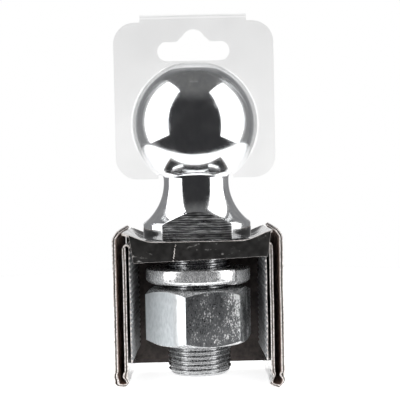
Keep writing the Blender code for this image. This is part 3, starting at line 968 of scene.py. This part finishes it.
def sheet_between(name, columns, rows, point, looks):
    """A closed sheet from point(column, row, face), with its rim in the second look."""
    shape = bmesh.new()
    faces = []
    for face in (0, 1):
        grid = []
        for row in range(rows + 1):
            parts = [(column / columns, row / rows) for column in range(columns + 1)]
            grid.append([shape.verts.new(point(u, v, face)) for u, v in parts])
        faces.append(grid)
        for row in range(rows):
            for column in range(columns):
                corners = [grid[row][column], grid[row][column + 1]]
                corners += [grid[row + 1][column + 1], grid[row + 1][column]]
                shape.faces.new(corners)
    rim = [(0, column) for column in range(columns)] + [(row, columns) for row in range(rows)]
    rim += [(rows, column) for column in range(columns, 0, -1)]
    rim += [(row, 0) for row in range(rows, 0, -1)]
    for index, (row, column) in enumerate(rim):
        after_row, after_column = rim[(index + 1) % len(rim)]
        corners = [faces[0][row][column], faces[0][after_row][after_column]]
        corners += [faces[1][after_row][after_column], faces[1][row][column]]
        shape.faces.new(corners).material_index = 1
    return to_object(shape, name, *looks)


def make_top_panel(outer, edge):

    def point(u, v, face):
        y = PANEL_FRONT_Y + (PANEL_BACK_Y - PANEL_FRONT_Y) * v
        x = (APEX_X - MM - splay(y)) * (2 * u - 1)
        lump = 0.18 * MM * noise.noise(Vector((x * 130, y * 130, 3.0)))
        clear_of_base = ease(math.hypot(x, y), BASE_R, BASE_R + 3 * MM)
        return (x, y, panel_height(x, y) + lump * clear_of_base - face * PANEL_THICK)

    panel = sheet_between("top_panel_board", 80, 70, point, (outer, edge))
    hole = [(0, SEAT_Z + MM), (PANEL_HOLE_R, SEAT_Z + MM), (PANEL_HOLE_R, SEAT_Z - 5 * MM)]
    hole += [(0, SEAT_Z - 5 * MM)]
    cut(panel, "DIFFERENCE", to_object(turned(hole, 96), "hole"))
    place(smooth(panel, 40), "carton", "black_board", "top_panel")


def make_flap(outer, edge):

    def point(u, v, face):
        top_x = FLAP_TOP_X[0] + (FLAP_TOP_X[1] - FLAP_TOP_X[0]) * u
        low_x = FLAP_LOW_X[0] + (FLAP_LOW_X[1] - FLAP_LOW_X[0]) * u
        top_z = panel_height(top_x, WALL_FRONT_Y) - 0.1 * MM
        low_z = FLAP_LOW_Z[0] + (FLAP_LOW_Z[1] - FLAP_LOW_Z[0]) * u
        low_z += 0.12 * MM * noise.noise(Vector((top_x * 260, 1, 5)))
        bow = 0.22 * MM * math.sin(math.pi * v) * noise.noise(Vector((top_x * 90, v * 2, 9)))
        crease = -0.18 * MM * math.exp(-(((top_x - CREASE_X + 1.2 * MM * (1 - v)) / (0.5 * MM)) ** 2))
        x = low_x + (top_x - low_x) * v
        y = FLAP_FRONT_Y + face * FLAP_THICK + (bow + crease) * (1 - face)
        return (x, max(y, FLAP_FRONT_Y - 0.25 * MM), low_z + (top_z - low_z) * v)

    flap = sheet_between("front_flap_board", 190, 16, point, (outer, edge))
    for face in flap.data.polygons:
        x, y, z = face.center
        crease_x = CREASE_X - 0.14 * (FRONT_SAG_Z - z)
        crease_x += 0.25 * MM * noise.noise(Vector((z * 900, 3, 1)))
        if y < FLAP_FRONT_Y + 0.3 * MM and abs(x - crease_x) < 0.11 * MM:
            face.material_index = 1
    bevel(flap, 0.16 * MM, 2, 50.0)
    place(smooth(flap, 40), "carton", "black_board", "front_flap")


def make_side(side, outer, inner, edge, core, liner):
    mirror = side == "left"
    foot = FEET[side]
    fold_top = foot + FOLD_HEIGHT
    wall_x = WALL_X - BOARD / 2
    return_x = RETURN_X - BOARD / 2
    gap = 0.06 * MM
    wall = [(wall_x, fold_top + gap), (wall_x, SHOULDER_Z), (APEX_X + 0.4 * MM, WALL_TOP_Z - 0.45 * MM)]
    wall = divided(rounded(wall, 1.0 * MM), 4 * MM)
    name = f"outer_wall_{side}"
    board(name, name, wall, *span(name, 1), mirror, outer, inner, edge, core)
    fold = [(wall_x, fold_top), (wall_x, foot + BOARD / 2), (return_x, foot + BOARD / 2)]
    fold += [(return_x, fold_top)]
    fold = divided(rounded(fold, 1.5 * MM), 0.8 * MM)[::-1]
    name = f"bottom_fold_{side}"
    board(name, name, fold, *span(name, 1), mirror, outer, inner, edge, core, CRUMPLE)
    panel = divided([(return_x, fold_top + gap), (return_x, RETURN_TOP_Z)], 4 * MM)
    name = f"return_panel_{side}"
    board(name, name, panel, *span(name, 1), mirror, inner, outer, edge, core)
    make_liner(side, mirror, return_x, liner, edge)


def make_liner(side, mirror, return_x, look, edge):
    """Single-faced fluted board: a flat back with flutes that run front to back."""
    sign = -1 if mirror else 1
    inner_x = LINER_X - LINER_THICK
    low_z = LINER_Z
    high_z = RETURN_TOP_Z
    levels = round((high_z - low_z) / FLUTE_PITCH * 10)
    shape = bmesh.new()
    rows = 24
    grids = []
    for face in (0, 1):
        grid = []
        for row in range(rows + 1):
            y = LINER_FRONT_Y + (LINER_BACK_Y - LINER_FRONT_Y) * row / rows
            ring = []
            for level in range(levels + 1):
                z = low_z + (high_z - low_z) * level / levels
                wave = 0.5 + 0.5 * math.cos(2 * math.pi * z / FLUTE_PITCH)
                x = LINER_X - 0.12 * MM if face else inner_x + FLUTE_HEIGHT * wave
                sway = 0.2 * MM * noise.noise(Vector((sign * 3, y * 45, z * 60)))
                ring.append(shape.verts.new((sign * (x + sway - splay(y)), y, z)))
            grid.append(ring)
        grids.append(grid)
        for first, second in zip(grid, grid[1:]):
            for level in range(levels):
                shape.faces.new([first[level], first[level + 1], second[level + 1], second[level]])
    for row in range(rows):
        for level in (0, levels):
            corners = [grids[0][row][level], grids[0][row + 1][level]]
            corners += [grids[1][row + 1][level], grids[1][row][level]]
            shape.faces.new(corners).material_index = 1
    for row in (0, rows):
        for level in range(levels):
            corners = [grids[0][row][level], grids[0][row][level + 1]]
            corners += [grids[1][row][level + 1], grids[1][row][level]]
            shape.faces.new(corners).material_index = 1
    liner = smooth(to_object(shape, f"fluted_liner_{side}_board", look, edge), 50)
    place(liner, "carton", "liner_board", f"fluted_liner_{side}")
    liner_x = LINER_X - LINER_THICK / 2
    hook_r = (return_x - liner_x) / 2
    hook = arc((return_x + liner_x) / 2, RETURN_TOP_Z + 0.1 * MM, hook_r, 0, 180, 14)
    piece = swept(
        f"liner_hook_{side}_roll", hook, LINER_THICK, 0.0, *span(f"liner_hook_{side}", 1), mirror,
        (look, edge),
    )
    place(smooth(piece, 60), "carton", "liner_board", f"liner_hook_{side}")


def make_back_wall(outer, inner, edge, core):
    half = WALL_X - BOARD - 0.3 * MM - splay(BACK_Y)
    for name, near, far, looks in (
        ("back_wall_print_ply", BACK_Y - PLY, BACK_Y, (outer, edge)),
        # Near-black core layer: painted shade for the flute hollows.
        ("back_wall_core", BACK_Y - BOARD + PLY, BACK_Y - PLY, (core, core)),
        ("back_wall_plain_ply", BACK_Y - BOARD, BACK_Y - BOARD + PLY, (inner, edge)),
    ):
        inset = 0.5 * MM if "core" in name else 0.0

        def point(u, v, face, near=near, far=far, inset=inset):
            x = (half - inset) * (2 * u - 1)
            low_z = BACK_WALL_Z + inset
            slope_z = WALL_TOP_Z - 1.9 * (abs(x) - half + BACK_WALL_LEAN * 1.6)
            top_z = min(panel_height(x, BACK_Y) - 0.1 * MM, slope_z)
            top_z = max(top_z, SHOULDER_Z - BACK_WALL_LEAN) - inset
            sway = 0.15 * MM * noise.noise(Vector((x * 50, v * 3, 21)))
            y = (far if face else near) - abs(sway)
            return (x, y, low_z + (top_z - low_z) * v)

        piece = sheet_between(name, 60, 40, point, looks)
        place(smooth(piece, 40), "carton", "black_board", "back_wall")


# ---------------------------------------------------------------- everything


def main():
    make_camera()
    make_lights()
    make_world()
    make_floor()
    chrome = chrome_look()
    make_ball(chrome, flat_look())
    make_shank(thread_look())
    make_washer(washer_look())
    make_nut(mottled_zinc_look(), smooth_zinc_look(), bright_zinc_look())
    clear = clear_look()
    fold_base_z = span("cover_fold", 2)[0]
    front_tab_z = span("cover_front", 2)[1]
    make_cover_half("cover_front_sheet", FRONT, "cover_front", "cover_door", front_tab_z, clear)
    make_cover_half("cover_back_sheet", BACK, "cover_back", "cover", fold_base_z - 0.02 * MM, clear)
    make_cover_fold(clear)
    outer = print_look()
    inner = inner_board_look("inner_board", (0.30, 0.225, 0.195), (0.50, 0.40, 0.35))
    shaded = inner_board_look("shaded_board", (0.035, 0.028, 0.026), (0.075, 0.06, 0.055))
    edge = cut_edge_look()
    # Painted shade: the near-black core between the plies.
    core = painted_shade_core_look()
    make_top_panel(outer, edge)
    make_flap(outer, edge)
    make_back_wall(outer, shaded, edge, core)
    liner = liner_look()
    for side in ("left", "right"):
        make_side(side, outer, inner, edge, core, liner)


main()
